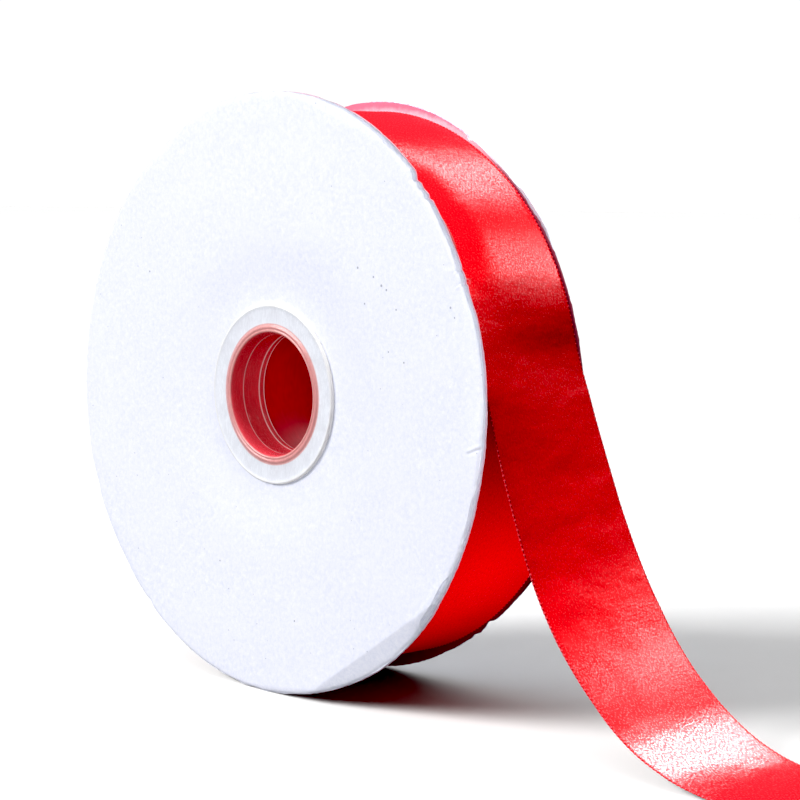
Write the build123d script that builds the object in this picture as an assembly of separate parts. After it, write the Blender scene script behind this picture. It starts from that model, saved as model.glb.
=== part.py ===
from build123d import *
import math
import os

# Ribbon spool: two laminated paperboard flanges held on a moulded core by two
# flanged hub plugs, wound full of satin ribbon whose free end comes off the
# roll, bends outward and lies on the table.
#
# Millimetres. Origin: centre of the hub bore, half way between the flanges.
# +Y runs along the spool's axis towards the back flange, +Z is up, and the
# free end of the ribbon leaves on the +X side. The spool stands on the rims
# of its flanges, so the table is the plane z = -FLANGE_R.

# ---- flanges -------------------------------------------------------------
FLANGE_R = 81.0          # outside radius of the board
FLANGE_HOLE_R = 18.6     # hole the plug tubes pass through
PAPER_R = FLANGE_R - 0.15
BOARD_T = 1.9            # soft board between the two papers
CRUSHED_T = 0.75         # the same board where the collar clamps it
PAPER_T = 0.25           # facing paper on each side of the board
HALF_GAP = 19.2          # inner face of a flange at the hub, from the middle
CLAMP_R = 24.9           # the board is crushed out to here
FLAT_R = 31.0            # full thickness from here, and the flare starts
FRONT_FLARE = 1.6        # how far the front rim stands out
BACK_FLARE = 0.2         # how far the back rim stands out
RIM_ROUND = 0.55         # rounding of the board's rim
RIM_BEVEL = 0.3 * RIM_ROUND  # inset of the point between face and rim

# ---- hub plugs -----------------------------------------------------------
BORE_R = 16.4            # bore of both plugs
PLUG_TUBE_R = 18.3       # outside of a plug's tube
PLUG_LEN = 12.0          # collar face to the end of the tube
COLLAR_R = 24.35         # outside radius of the collar
COLLAR_T = 1.05          # thickness of the collar
COLLAR_DROP = 0.1        # flat of the collar, below its nominal face
MOUTH_ROUND = 0.6        # lead-in at the mouth of the bore
BEAD_LEN = 2.1           # stiffening bead round the end of the tube
BEAD_H = 0.1             # how far that bead stands out

# ---- core and starter tape -----------------------------------------------
CORE_IN_R = 18.5
CORE_OUT_R = 20.4
CORE_HALF_W = 19.15
TAPE_T = 0.1             # adhesive tape that starts the ribbon on the core
TAPE_HALF_W = 12.0
TAPE_START_DEG = 80.0
TAPE_ARC_DEG = 70.0

# ---- ribbon --------------------------------------------------------------
RIBBON_HALF_W = 38.1 / 2  # 1 1/2 in ribbon
RIBBON_T = 0.3           # thickness of the outer lap and the free end
ROLL_IN_R = 20.6         # wound laps
ROLL_OUT_R = 75.95
LAP_IN_R = 76.15         # last lap, inside face
LAP_OUT_R = LAP_IN_R + RIBBON_T
LEAVE_DEG = 14.5         # where the ribbon leaves the roll, above +X
LAP_GAP_DEG = 6.0        # the lap stops this far short, under the free end


# ---- shared shapes -------------------------------------------------------
def polar(radius, degrees):
    """Point (x, z) at an angle measured from +X towards +Z."""
    angle = math.radians(degrees)
    return (radius * math.cos(angle), radius * math.sin(angle))


def lathe(profile):
    """Solid of revolution about the Y axis from (radius, y) points."""
    return revolve(make_face(Polyline(*profile, close=True)), Axis.Y, 360)


def lathe_outward(profile, side):
    """Lathe (radius, distance from the middle); side is -1 front, +1 back."""
    return lathe([(r, side * out) for r, out in profile])


def ring(r_in, r_out, half_w):
    return lathe([(r_in, -half_w), (r_out, -half_w), (r_out, half_w), (r_in, half_w)])


def bar(outline, half_w):
    """Outline drawn as (x, z) in the XY plane, stood up and given its width."""
    solid = extrude(make_face(outline), amount=half_w, both=True)
    return solid.rotate(Axis.X, 90)


def arc_strip(r_in, r_out, half_w, start, end):
    """Part of a ring between two angles in degrees."""
    mid = (start + end) / 2
    return bar([
        ThreePointArc(polar(r_out, start), polar(r_out, mid), polar(r_out, end)),
        Line(polar(r_out, end), polar(r_in, end)),
        ThreePointArc(polar(r_in, end), polar(r_in, mid), polar(r_in, start)),
        Line(polar(r_in, start), polar(r_out, start)),
    ], half_w)


# ---- spool pieces --------------------------------------------------------
def flange(side, flare):
    """Inner paper, board and outer paper of one flange.

    The inner face is flat to FLAT_R and then flares in a straight line. The
    outer face is pressed in under the collar, where the board is crushed.
    """
    def rise(r):
        return flare * max(r - FLAT_R, 0) / (FLANGE_R - FLAT_R)

    def plain_face(base, r_out):
        return [(FLANGE_HOLE_R, base), (FLAT_R, base), (r_out, base + rise(r_out))]

    def pressed_face(full, r_out):
        crushed = full - (BOARD_T - CRUSHED_T)
        return [(FLANGE_HOLE_R, crushed), (CLAMP_R, crushed), (FLAT_R, full),
                (r_out, full + rise(r_out))]

    board_in = HALF_GAP + PAPER_T
    board_out = board_in + BOARD_T
    board_r = FLANGE_R - RIM_ROUND       # the board's faces end here
    rim_in = board_in + rise(FLANGE_R)
    rim_out = board_out + rise(FLANGE_R)
    board_rim = [
        (FLANGE_R - RIM_BEVEL, rim_in + RIM_BEVEL),
        (FLANGE_R, rim_in + RIM_ROUND),
        (FLANGE_R, rim_out - RIM_ROUND),
        (FLANGE_R - RIM_BEVEL, rim_out - RIM_BEVEL),
    ]
    # The papers reach out over the rounding of the board's rim.
    inner_paper = plain_face(HALF_GAP, PAPER_R) + plain_face(board_in, PAPER_R)[::-1]
    board = plain_face(board_in, board_r) + board_rim + pressed_face(board_out, board_r)[::-1]
    outer_paper = (pressed_face(board_out, PAPER_R)
                   + pressed_face(board_out + PAPER_T, PAPER_R)[::-1])
    return [lathe_outward(profile, side) for profile in (inner_paper, board, outer_paper)]


def hub_plug(side):
    """Flanged plug: thin collar outside the flange, tube into the core."""
    seat = HALF_GAP + 2 * PAPER_T + CRUSHED_T
    face = seat + COLLAR_T
    end = face - PLUG_LEN
    bead_r = PLUG_TUBE_R + BEAD_H
    return lathe_outward([
        # bore and its rounded mouth
        (BORE_R, end + 0.25),
        (BORE_R, face - MOUTH_ROUND),
        (BORE_R + 0.18 * MOUTH_ROUND, face - 0.4 * MOUTH_ROUND),
        # low raised lip round the mouth
        (BORE_R + 0.55 * MOUTH_ROUND, face + 0.05),
        (BORE_R + 1.1, face + 0.15),
        (BORE_R + 1.9, face + 0.08),
        # flat of the collar and its eased edge
        (BORE_R + 2.3, face - COLLAR_DROP),
        (COLLAR_R - 0.9, face - COLLAR_DROP),
        (COLLAR_R - 0.35, face - 0.22),
        (COLLAR_R, face - 0.6),
        # seat on the flange, then the outside of the tube
        (COLLAR_R, seat),
        (PLUG_TUBE_R, seat),
        # bead and tapered end of the tube
        (PLUG_TUBE_R, end + BEAD_LEN),
        (bead_r, end + BEAD_LEN - 0.25),
        (bead_r, end + 0.6),
        (PLUG_TUBE_R - 0.5, end),
        (BORE_R + 0.3, end),
    ], side)


def core_tube():
    return ring(CORE_IN_R, CORE_OUT_R, CORE_HALF_W)


def starter_tape():
    return arc_strip(CORE_OUT_R, CORE_OUT_R + TAPE_T, TAPE_HALF_W,
                     TAPE_START_DEG, TAPE_START_DEG + TAPE_ARC_DEG)


def ribbon_roll():
    return ring(ROLL_IN_R, ROLL_OUT_R, RIBBON_HALF_W)


def ribbon_outer_lap():
    return arc_strip(LAP_IN_R, LAP_OUT_R, RIBBON_HALF_W,
                     LEAVE_DEG, LEAVE_DEG + 360 - LAP_GAP_DEG)


# ---- free end of the ribbon ----------------------------------------------
TABLE_Z = -FLANGE_R
REST_Z = TABLE_Z + 0.2   # middle line where the ribbon lies on the table

# Middle line of the free end, seen from the front (x, z), from the point
# where it leaves the roll to its cut end on the table.
TAIL = [
    polar((LAP_IN_R + LAP_OUT_R) / 2, LEAVE_DEG),
    (75.6, 12.3), (77.45, 5.0), (80.0, -3.2), (83.3, -12.2), (87.1, -21.7),
    (90.4, -29.4), (94.6, -38.0), (98.6, -45.0), (102.6, -51.0),
    (107.2, -56.8), (112.6, -62.4), (118.6, -67.7), (124.2, -71.8),
    (130.2, -75.2), (136.8, -77.9), (144.0, -79.7), (152.0, -80.6),
    (161.0, REST_Z), (171.0, REST_Z), (181.0, REST_Z),
]

# Lengths of the free end, each with where it stops as a share of the whole.
TAIL_STOPS = {"upper": 0.245, "middle": 0.50, "lower": 0.73, "end": 1.0}
LINK_GAP = 0.5           # space between two lengths of the free end
CURVE_STEPS = 12         # samples between two points of TAIL
LINE_STEP = 1.0          # spacing of the evenly sampled middle line
SPLINE_STEP = 3.0        # least spacing of the points each spline runs through


def between(start, end, share):
    return tuple(a + (b - a) * share for a, b in zip(start, end))


def catmull_rom(points):
    """Catmull-Rom curve through the points, sampled CURVE_STEPS to a span."""
    before = between(points[1], points[0], 2)
    after = between(points[-2], points[-1], 2)
    padded = [before, *points, after]
    curve = []
    for span in zip(padded, padded[1:], padded[2:], padded[3:]):
        for k in range(CURVE_STEPS):
            t = k / CURVE_STEPS
            curve.append(tuple(
                0.5 * (2 * p1 + (p2 - p0) * t
                       + (2 * p0 - 5 * p1 + 4 * p2 - p3) * t ** 2
                       + (3 * p1 - p0 - 3 * p2 + p3) * t ** 3)
                for p0, p1, p2, p3 in zip(*span)))
    return curve + [points[-1]]


def resample(curve, step):
    """The curve as evenly spaced points, and its length."""
    travelled = [0.0]
    for start, end in zip(curve, curve[1:]):
        travelled.append(travelled[-1] + math.dist(start, end))
    length = travelled[-1]
    count = round(length / step)
    even = []
    j = 0
    for k in range(count + 1):
        distance = length * k / count
        while j < len(curve) - 2 and travelled[j + 1] < distance:
            j += 1
        share = (distance - travelled[j]) / (travelled[j + 1] - travelled[j])
        even.append(between(curve[j], curve[j + 1], share))
    return even, length


TAIL_LINE, TAIL_LEN = resample(catmull_rom(TAIL), LINE_STEP)


def tail_point(distance):
    """Point of the middle line at a distance from where it leaves the roll."""
    place = distance / TAIL_LEN * (len(TAIL_LINE) - 1)
    i = min(int(place), len(TAIL_LINE) - 2)
    return between(TAIL_LINE[i], TAIL_LINE[i + 1], place - i)


def ribbon_tail(start, end):
    """Free end between two distances along its middle line."""
    count = int((end - start) / SPLINE_STEP)
    line = [tail_point(start + (end - start) * k / count) for k in range(count + 1)]
    outer, inner = [], []
    for i, (x, z) in enumerate(line):
        before = line[max(i - 1, 0)]
        after = line[min(i + 1, count)]
        span = math.dist(before, after)
        normal_x = -(after[1] - before[1]) / span
        normal_z = (after[0] - before[0]) / span
        if start == 0 and i == 0:
            # The first edge is radial, flush with the start of the outer lap.
            normal_x, normal_z = polar(1, LEAVE_DEG)
        half_t = RIBBON_T / 2
        outer.append((x + normal_x * half_t, z + normal_z * half_t))
        inner.append((x - normal_x * half_t, z - normal_z * half_t))
    return bar([
        Spline(*outer), Line(outer[-1], inner[-1]),
        Spline(*reversed(inner)), Line(inner[0], outer[0]),
    ], RIBBON_HALF_W)


def ribbon_tails():
    """The lengths of the free end by name, with LINK_GAP between them."""
    tails = {}
    start = 0.0
    for name, share in TAIL_STOPS.items():
        stop = TAIL_LEN * share
        end = stop if name == "end" else stop - LINK_GAP / 2
        tails[f"ribbon_tail_{name}"] = ribbon_tail(start, end)
        start = stop + LINK_GAP / 2
    return tails


# ---- build and export ----------------------------------------------------
parts = {}
for place, side, flare in (("front", -1, FRONT_FLARE), ("back", 1, BACK_FLARE)):
    for layer, solid in zip(("inner_paper", "board", "outer_paper"), flange(side, flare)):
        parts[f"{place}_flange_{layer}"] = solid
    parts[f"{place}_hub_plug"] = hub_plug(side)

parts["core_tube"] = core_tube()
parts["starter_tape"] = starter_tape()
parts["ribbon_roll"] = ribbon_roll()
parts["ribbon_outer_lap"] = ribbon_outer_lap()
parts.update(ribbon_tails())

os.makedirs("parts", exist_ok=True)
for name, solid in parts.items():
    export_step(solid, f"parts/{name}.step")
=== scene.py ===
# A spool of red satin ribbon with two paper-faced board flanges, standing on its rim.
# The spool's axis is Y, with the front flange at -Y. Z is up. The ribbon leaves the
# roll on the +X side, falls and lies on the floor towards +X. Shapes are worked out in
# millimetres and turned into metres when a mesh is made. Angles go round the axis from
# +X towards +Z.
import math
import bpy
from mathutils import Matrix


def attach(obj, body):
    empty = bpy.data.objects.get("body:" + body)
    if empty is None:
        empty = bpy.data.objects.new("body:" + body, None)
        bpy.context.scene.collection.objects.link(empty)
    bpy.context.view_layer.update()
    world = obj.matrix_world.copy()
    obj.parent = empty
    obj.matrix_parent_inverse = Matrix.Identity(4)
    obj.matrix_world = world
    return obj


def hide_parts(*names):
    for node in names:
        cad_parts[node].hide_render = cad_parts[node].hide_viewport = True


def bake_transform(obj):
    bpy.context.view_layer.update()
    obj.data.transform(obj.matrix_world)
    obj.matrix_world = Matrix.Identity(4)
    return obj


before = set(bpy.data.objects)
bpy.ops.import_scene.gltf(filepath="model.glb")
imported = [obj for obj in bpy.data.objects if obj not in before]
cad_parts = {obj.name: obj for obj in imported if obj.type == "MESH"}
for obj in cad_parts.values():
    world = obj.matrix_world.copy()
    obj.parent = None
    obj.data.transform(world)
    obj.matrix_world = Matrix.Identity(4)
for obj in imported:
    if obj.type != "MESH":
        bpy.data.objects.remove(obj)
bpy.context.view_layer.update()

from types import SimpleNamespace

import bpy
import numpy as np
from mathutils import Matrix, Vector

SCENE = bpy.context.scene
MM = 0.001
TAU = 2 * math.pi
DEG = math.pi / 180

# ---------------------------------------------------------------- sizes (mm)
FLANGE_R = 81.0
HOLE_R = 18.6
HALF_GAP = 19.2        # middle plane to a flange's inner face
LINER = 0.25           # thickness of each paper
BOARD = 1.9
CRUSHED = 0.75         # board thickness under the plug's collar
CLAMP_R = 24.9         # the crushed ring ends here
FLAT_R = 31.0          # the flange starts to flare here
TOTAL = BOARD + 2 * LINER
COLLAR = 1.05
FACE_Y = HALF_GAP + 2 * LINER + CRUSHED + COLLAR
RIB_HALF = 19.05       # half the ribbon's width
RIB_T = 0.26
LAP_R = 75.95          # last lap
LAP_X, LAP_Z = -1.0, 0.5
SELVEDGE_PITCH = 1.25
FLOOR_Z = -81.05
CRISP_ANGLE = 42.0     # edges sharper than this (degrees) are shaded sharp


# ------------------------------------------------------------ small helpers
def smooth01(x):
    x = np.clip(x, 0.0, 1.0)
    return x * x * (3 - 2 * x)


def waves(angle, seed, low, high, count, power=0.8):
    """Periodic noise on a circle, about -1 to 1, with low to high waves per turn."""
    rng = np.random.default_rng(seed)
    total = np.zeros_like(angle)
    norm = 0.0
    for _ in range(count):
        n = int(rng.integers(low, high + 1))
        size = 1.0 / n ** power
        total += size * np.sin(n * angle + rng.uniform(0, TAU))
        norm += size * size
    return total / math.sqrt(norm) / 1.4


def lattice(x, z, seed, cell):
    """Smooth value noise in the plane, about -1 to 1."""
    table = np.random.default_rng(seed).uniform(-1, 1, (256, 256))
    u, v = x / cell + 1000.0, z / cell + 1000.0
    i, j = np.floor(u).astype(int), np.floor(v).astype(int)
    part_u, part_v = smooth01(u - i), smooth01(v - j)

    def row(k):
        return table[i % 256, k % 256] * (1 - part_u) + table[(i + 1) % 256, k % 256] * part_u

    return row(j) * (1 - part_v) + row(j + 1) * part_v


def degrees_from(angle, centre):
    return (angle / DEG - centre + 180.0) % 360.0 - 180.0


def near_angle(angle, centre, width):
    """1 at centre (degrees), falling to 0 over width (degrees)."""
    return np.exp(-(degrees_from(angle, centre) / width) ** 2)


def in_arc(angle, start, end, soft):
    """1 between start and end (degrees, start < end), soft ends."""
    middle, half = (start + end) / 2, (end - start) / 2
    return smooth01((half + soft - np.abs(degrees_from(angle, middle))) / (2 * soft))


def add_mesh(name, verts, faces, materials, uv=None):
    """verts in mm. faces is a list of index arrays (quads or triangles)."""
    mesh = bpy.data.meshes.new(name)
    verts = np.asarray(verts, np.float64) * MM
    mesh.vertices.add(len(verts))
    mesh.vertices.foreach_set("co", verts.astype(np.float32).ravel())
    loops = np.concatenate([np.asarray(f, np.int32).ravel() for f in faces])
    sizes = np.concatenate([np.full(len(f), f.shape[1], np.int32) for f in faces])
    starts = np.concatenate([[0], np.cumsum(sizes)[:-1]]).astype(np.int32)
    mesh.loops.add(len(loops))
    mesh.loops.foreach_set("vertex_index", loops)
    mesh.polygons.add(len(sizes))
    mesh.polygons.foreach_set("loop_start", starts)
    mesh.polygons.foreach_set("loop_total", sizes)
    mesh.update(calc_edges=True)
    mesh.validate()
    mesh.polygons.foreach_set("use_smooth", np.full(len(mesh.polygons), True))
    if uv is not None:
        layer = mesh.uv_layers.new(name="UVMap")
        corner = np.zeros(len(mesh.loops), np.int32)
        mesh.loops.foreach_get("vertex_index", corner)
        layer.data.foreach_set("uv", np.asarray(uv, np.float32)[corner].ravel())
    mesh.update()
    mesh.set_sharp_from_angle(angle=CRISP_ANGLE * DEG)
    obj = bpy.data.objects.new(name, mesh)
    SCENE.collection.objects.link(obj)
    for material in materials:
        mesh.materials.append(material)
    return obj


def grid_faces(rows, cols, wrap_rows=False, wrap_cols=False, flip=False, offset=0):
    """Quads over a grid of vertices, index = row * cols + column."""
    row, col = np.meshgrid(np.arange(rows if wrap_rows else rows - 1),
                           np.arange(cols if wrap_cols else cols - 1), indexing="ij")
    row2, col2 = (row + 1) % rows, (col + 1) % cols
    quads = np.stack([row * cols + col, row2 * cols + col,
                      row2 * cols + col2, row * cols + col2], -1).reshape(-1, 4)
    if flip:
        quads = quads[:, ::-1]
    return quads + offset


def lathe(name, profile, segments, material, side=1.0, wobble=None):
    """Closed body of revolution about Y. profile: closed loop of (radius, y)."""
    rad, y = np.asarray(profile, float).T
    area = np.sum(rad * np.roll(y, -1) - np.roll(rad, -1) * y)
    shape = (len(rad), segments)
    angle = np.broadcast_to(np.arange(segments) * TAU / segments, shape)
    rad = np.broadcast_to(rad[:, None], shape)
    y = np.broadcast_to(y[:, None], shape) * side
    if wobble is not None:
        rad, y = wobble(rad, y, angle)
    verts = np.stack([rad * np.cos(angle), y, rad * np.sin(angle)], -1).reshape(-1, 3)
    faces = grid_faces(*shape, wrap_rows=True, wrap_cols=True, flip=(area * side < 0))
    return add_mesh(name, verts, [faces], [material])


def on_spool(obj, node):
    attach(obj, "spool")
    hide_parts(node)


# ------------------------------------------------------------ shader helpers
def srgb(*channels):
    """sRGB 0-255 to linear."""
    def linear(value):
        value /= 255.0
        return value / 12.92 if value <= 0.04045 else ((value + 0.055) / 1.055) ** 2.4
    return tuple(linear(value) for value in channels)


def rgba(value):
    """A colour, or a number for a grey, with full alpha."""
    return (*value, 1.0) if isinstance(value, tuple) else (value, value, value, 1.0)


class Shader:
    """Node tree of a material or world. Methods give the output socket of what they add."""

    def __init__(self, owner):
        owner.use_nodes = True
        self.owner = owner
        self.tree = owner.node_tree
        self.tree.nodes.clear()

    def put(self, value, socket):
        if isinstance(value, bpy.types.NodeSocket):
            self.tree.links.new(value, socket)
        else:
            socket.default_value = rgba(value) if socket.type == "RGBA" else value

    def node(self, kind, inputs=None, **props):
        """The node itself. inputs: values or sockets by input name or number."""
        node = self.tree.nodes.new(kind)
        for key, value in props.items():
            setattr(node, key, value)
        for key, value in (inputs or {}).items():
            self.put(value, node.inputs[key])
        return node

    def math(self, operation, *values, clamp=False):
        return self.node("ShaderNodeMath", dict(enumerate(values)),
                         operation=operation, use_clamp=clamp).outputs[0]

    def plus(self, a, b, clamp=False):
        return self.math("ADD", a, b, clamp=clamp)

    def minus(self, a, b):
        return self.math("SUBTRACT", a, b)

    def times(self, a, b):
        return self.math("MULTIPLY", a, b)

    def spike(self, distance, half_width):
        """1 at distance 0, falling straight to 0 at half_width."""
        return self.math("SUBTRACT", 1.0, self.math("DIVIDE", distance, half_width), clamp=True)

    def noise(self, vector, scale, detail=2.0, rough=0.5, warp=0.0):
        return self.node("ShaderNodeTexNoise", {
            "Scale": scale, "Detail": detail, "Roughness": rough, "Distortion": warp,
            "Vector": vector}).outputs["Fac"]

    def mapped(self, vector, scale=(1, 1, 1), turn=(0, 0, 0), shift=(0, 0, 0)):
        return self.node("ShaderNodeMapping", {
            "Scale": scale, "Rotation": turn, "Location": shift,
            "Vector": vector}).outputs["Vector"]

    def object_metres(self):
        return self.node("ShaderNodeTexCoord").outputs["Object"]

    def object_mm(self):
        return self.mapped(self.object_metres(), scale=(1000, 1000, 1000))

    def ribbon_uv(self):
        return self.node("ShaderNodeUVMap", uv_map="UVMap").outputs["UV"]

    def xyz(self, vector):
        return self.node("ShaderNodeSeparateXYZ", {0: vector}).outputs

    def axis_distance(self, x, z):
        flat = self.node("ShaderNodeCombineXYZ", {0: x, 2: z}).outputs[0]
        return self.node("ShaderNodeVectorMath", {0: flat}, operation="LENGTH").outputs["Value"]

    def ramp(self, factor, *stops):
        """stops: (position, colour or grey)."""
        node = self.node("ShaderNodeValToRGB", {"Fac": factor})
        elements = node.color_ramp.elements
        while len(elements) < len(stops):
            elements.new(0.5)
        for element, (position, colour) in zip(elements, stops):
            element.position = position
            element.color = rgba(colour)
        return node.outputs["Color"]

    def mix(self, factor, a, b, mode="MIX"):
        # inputs 6 and 7 and output 2 are the colour sockets
        return self.node("ShaderNodeMix", {0: factor, 6: a, 7: b},
                         data_type="RGBA", blend_type=mode).outputs[2]

    def multiply(self, factor, a, b):
        return self.mix(factor, a, b, mode="MULTIPLY")

    def bump(self, height, strength, distance, normal=None):
        inputs = {"Strength": strength, "Distance": distance, "Height": height}
        if normal is not None:
            inputs["Normal"] = normal
        return self.node("ShaderNodeBump", inputs).outputs["Normal"]

    def principled(self, colour, roughness, normal=None, **more):
        """more: other inputs, with underscores for spaces."""
        inputs = {"Base Color": colour, "Roughness": roughness}
        if normal is not None:
            inputs["Normal"] = normal
        inputs.update({key.replace("_", " "): value for key, value in more.items()})
        return self.node("ShaderNodeBsdfPrincipled", inputs).outputs[0]

    def mix_shader(self, factor, a, b):
        return self.node("ShaderNodeMixShader", {0: factor, 1: a, 2: b}).outputs[0]

    def finish(self, surface, kind="ShaderNodeOutputMaterial"):
        self.node(kind, {"Surface": surface})
        return self.owner


def new_material(name):
    return Shader(bpy.data.materials.new(name))


# ----------------------------------------------------------------- materials
def back_rim_tint_and_painted_shade(mat, pos, colour):
    """Back flange's rim: a pinkish tint beyond about 77 mm except at the lower right, and painted
    shade, a dark maroon band, at the right and along the bottom.
    """
    x, y, z = mat.xyz(pos)
    radius = mat.axis_distance(x, z)
    ragged = mat.times(mat.minus(mat.noise(pos, scale=0.4, detail=3.0, rough=0.6), 0.5), 2.2)

    def ease(value, start, end):
        """0 at start to 1 at end (mm)."""
        return mat.node("ShaderNodeMapRange", {
            "Value": value, "From Min": start, "From Max": end},
            interpolation_type="SMOOTHSTEP").outputs["Result"]

    def ease_ragged(value, start, end):
        return ease(mat.plus(value, ragged), start, end)

    def back_rim(start, end):
        return mat.times(ease_ragged(radius, start, end), ease(y, 18.0, 18.6))

    # painted shade: a dark maroon band on the back rim at the right and along the bottom, where
    # it lies in shade
    right = ease_ragged(x, 34.0, 52.0)
    lower = mat.times(ease(z, -40.0, -56.0), ease_ragged(x, -34.0, -20.0))
    painted_rim_shade = mat.times(back_rim(72.6, 74.2), mat.math("MAXIMUM", right, lower))
    lower_right = mat.times(ease(z, 10.0, -10.0), ease(x, -20.0, 0.0))
    # a pinkish tint on the back rim beyond about 77 mm, except at the lower right
    pale = mat.times(back_rim(76.6, 78.4), mat.minus(1.0, lower_right))
    colour = mat.mix(mat.times(pale, 0.85), colour, srgb(192, 108, 142))
    return mat.mix(mat.times(painted_rim_shade, 0.93), colour, srgb(134, 12, 50))


# single flecks on the front facing paper: x, z, radius
PAPER_FLECKS = [
    (34.5, 35.6, .42), (40.5, 33.5, .36), (43.5, 31.4, .46), (45.4, 30.4, .40), (49.1, 25.6, .34),
    (37.2, 26.5, .34), (68.9, 27.2, .40), (52.2, 12.4, .34), (46.3, 14.7, .30), (70.4, 24.8, .32),
    (-52.0, 31.0, .34), (-20.0, -48.0, .30), (12.0, -60.0, .34)]


def paper_flecks(mat, pos, colour):
    """Sparse tiny flecks in the stock, then the single ones."""
    cells = mat.node("ShaderNodeTexVoronoi", {
        "Scale": 0.24, "Randomness": 1.0,
        "Vector": mat.mapped(pos, scale=(1.0, 1.0, 1.3), turn=(0, 0.7, 0))}, feature="F1")
    near = mat.ramp(cells.outputs["Distance"], (0.0, 1), (0.045, 1), (0.07, 0))
    cell_value = mat.node("ShaderNodeSeparateColor", {0: cells.outputs["Color"]}).outputs[0]
    some = mat.math("GREATER_THAN", cell_value, 0.72)
    fleck = mat.times(mat.times(near, some), 0.42)
    colour = mat.mix(fleck, colour, srgb(120, 128, 150))
    x, y, z = mat.xyz(pos)
    plane = mat.node("ShaderNodeCombineXYZ", {0: x, 1: z}).outputs[0]
    front = mat.math("LESS_THAN", y, 0.0)
    for fleck_x, fleck_z, size in PAPER_FLECKS:
        away = mat.node("ShaderNodeVectorMath", {0: plane, 1: (fleck_x, fleck_z, 0)},
                        operation="DISTANCE").outputs["Value"]
        hit = mat.math("MULTIPLY", mat.spike(away, size), 2.0, clamp=True)
        colour = mat.mix(mat.times(mat.times(hit, front), 0.62), colour, srgb(92, 100, 122))
    return colour


def paper_material(name, lining=False):
    """Facing paper has flecks; the lining is blushed with dye, with a pink tint and painted shade
    at the back flange's rim.
    """
    tint = srgb(238, 240, 252)
    mat = new_material(name)
    pos = mat.object_mm()
    cloud = mat.noise(pos, scale=0.05, detail=3.0, rough=0.55)
    mottle = mat.noise(pos, scale=0.9, detail=3.0, rough=0.6, warp=0.3)
    grain = mat.noise(pos, scale=3.2, rough=0.6)
    hairs = mat.noise(mat.mapped(pos, scale=(1.0, 1.0, 0.28), turn=(0.0, 0.6, 0.0)),
                      scale=2.4, detail=4.0, rough=0.7, warp=1.2)
    colour = mat.ramp(mottle, (0.25, srgb(224, 228, 244)), (0.62, tint),
                      (0.8, srgb(246, 249, 255)))
    colour = mat.mix(mat.times(mat.ramp(cloud, (0.35, 0), (0.65, 1)), 0.35), colour, tint)
    colour = mat.multiply(0.12, colour, mat.ramp(grain, (0.3, (0.62, 0.65, 0.80)), (0.55, 1)))
    colour = mat.multiply(0.10, colour, mat.ramp(hairs, (0.32, (0.55, 0.60, 0.75)), (0.5, 1)))
    if lining:
        # dye rubbed off the ribbon's edges, then the back rim's pink tint and painted shade
        blush = mat.times(mat.ramp(cloud, (0.3, 0.7), (0.7, 1)), 0.55)
        colour = back_rim_tint_and_painted_shade(mat, pos, mat.mix(blush, colour, srgb(232, 140, 158)))
    else:
        colour = paper_flecks(mat, pos, colour)
    height = mat.plus(mat.times(mottle, 0.5), mat.times(grain, 0.35))
    height = mat.plus(height, mat.times(hairs, 0.5))
    normal = mat.bump(height, strength=0.35, distance=0.00006)
    normal = mat.bump(cloud, strength=0.4, distance=0.0008, normal=normal)
    return mat.finish(mat.principled(colour, mat.ramp(mottle, (0.2, 0.55), (0.8, 0.72)), normal,
                                     Specular_IOR_Level=0.28))


def board_material(name):
    mat = new_material(name)
    pos = mat.object_mm()
    plies = mat.noise(mat.mapped(pos, scale=(0.35, 5.0, 0.35)),
                      scale=1.3, detail=4.0, rough=0.6, warp=0.6)
    pulp = mat.noise(pos, scale=2.6, detail=4.0, rough=0.65)
    dust = mat.noise(pos, scale=0.16)
    colour = mat.ramp(plies, (0.28, srgb(196, 200, 224)), (0.5, srgb(228, 231, 245)),
                      (0.72, srgb(244, 246, 255)))
    colour = mat.multiply(0.25, colour, mat.ramp(pulp, (0.3, (0.6, 0.62, 0.74)), (0.6, 1)))
    colour = mat.multiply(0.3, colour, mat.ramp(dust, (0.4, (0.82, 0.82, 0.85)), (0.6, 1)))
    # the back flange's rim gets a pink tint and painted shade
    colour = back_rim_tint_and_painted_shade(mat, pos, colour)
    height = mat.plus(mat.times(plies, 0.8), mat.times(pulp, 0.7))
    return mat.finish(mat.principled(
        colour, mat.ramp(pulp, (0.2, 0.78), (0.8, 0.95)),
        mat.bump(height, strength=0.6, distance=0.00012), Specular_IOR_Level=0.15))


def satin_gloss(mat, uv, glint, normal, face):
    """The floats shine in their own red, brighter on some threads than on others."""
    tint = mat.ramp(glint, (0.42, (0.20, 0.06, 0.07)), (0.48, (0.60, 0.30, 0.32)),
                    (0.52, (1.0, 0.66, 0.70)), (0.58, 1.0))
    # painted dimming of the highlight: the shine is weaker at the top of the lap and full towards
    # +X
    x, y, z = mat.xyz(mat.object_metres())
    crown = mat.ramp(mat.times(z, 10.0), (0.36, (0.85, 0.84, 0.84)), (0.48, (0.44, 0.40, 0.40)))
    painted_highlight_dimming = mat.mix(mat.ramp(mat.times(x, 5.0), (0.42, 0), (0.60, 1)), crown, 1.0)
    tint = mat.multiply(1.0, tint, painted_highlight_dimming)
    fresnel = mat.node("ShaderNodeFresnel", {"IOR": 1.6}).outputs[0]
    amount = mat.times(fresnel, 0.11 * face + 0.04)
    shine = mat.node("ShaderNodeCombineColor", {0: amount, 1: amount, 2: amount}).outputs[0]
    dull = 0.2 * (1 - face)
    tangent = mat.node("ShaderNodeTangent", direction_type="UV_MAP", uv_map="UVMap")
    return mat.node("ShaderNodeBsdfAnisotropic", {
        "Color": mat.multiply(1.0, tint, shine),
        "Roughness": mat.ramp(glint, (0.3, 0.23 + dull), (0.7, 0.28 + dull)),
        "Anisotropy": 0.15 * face, "Rotation": 0.25,
        "Tangent": tangent.outputs[0], "Normal": normal},
        distribution="BECKMANN").outputs[0]


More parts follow.
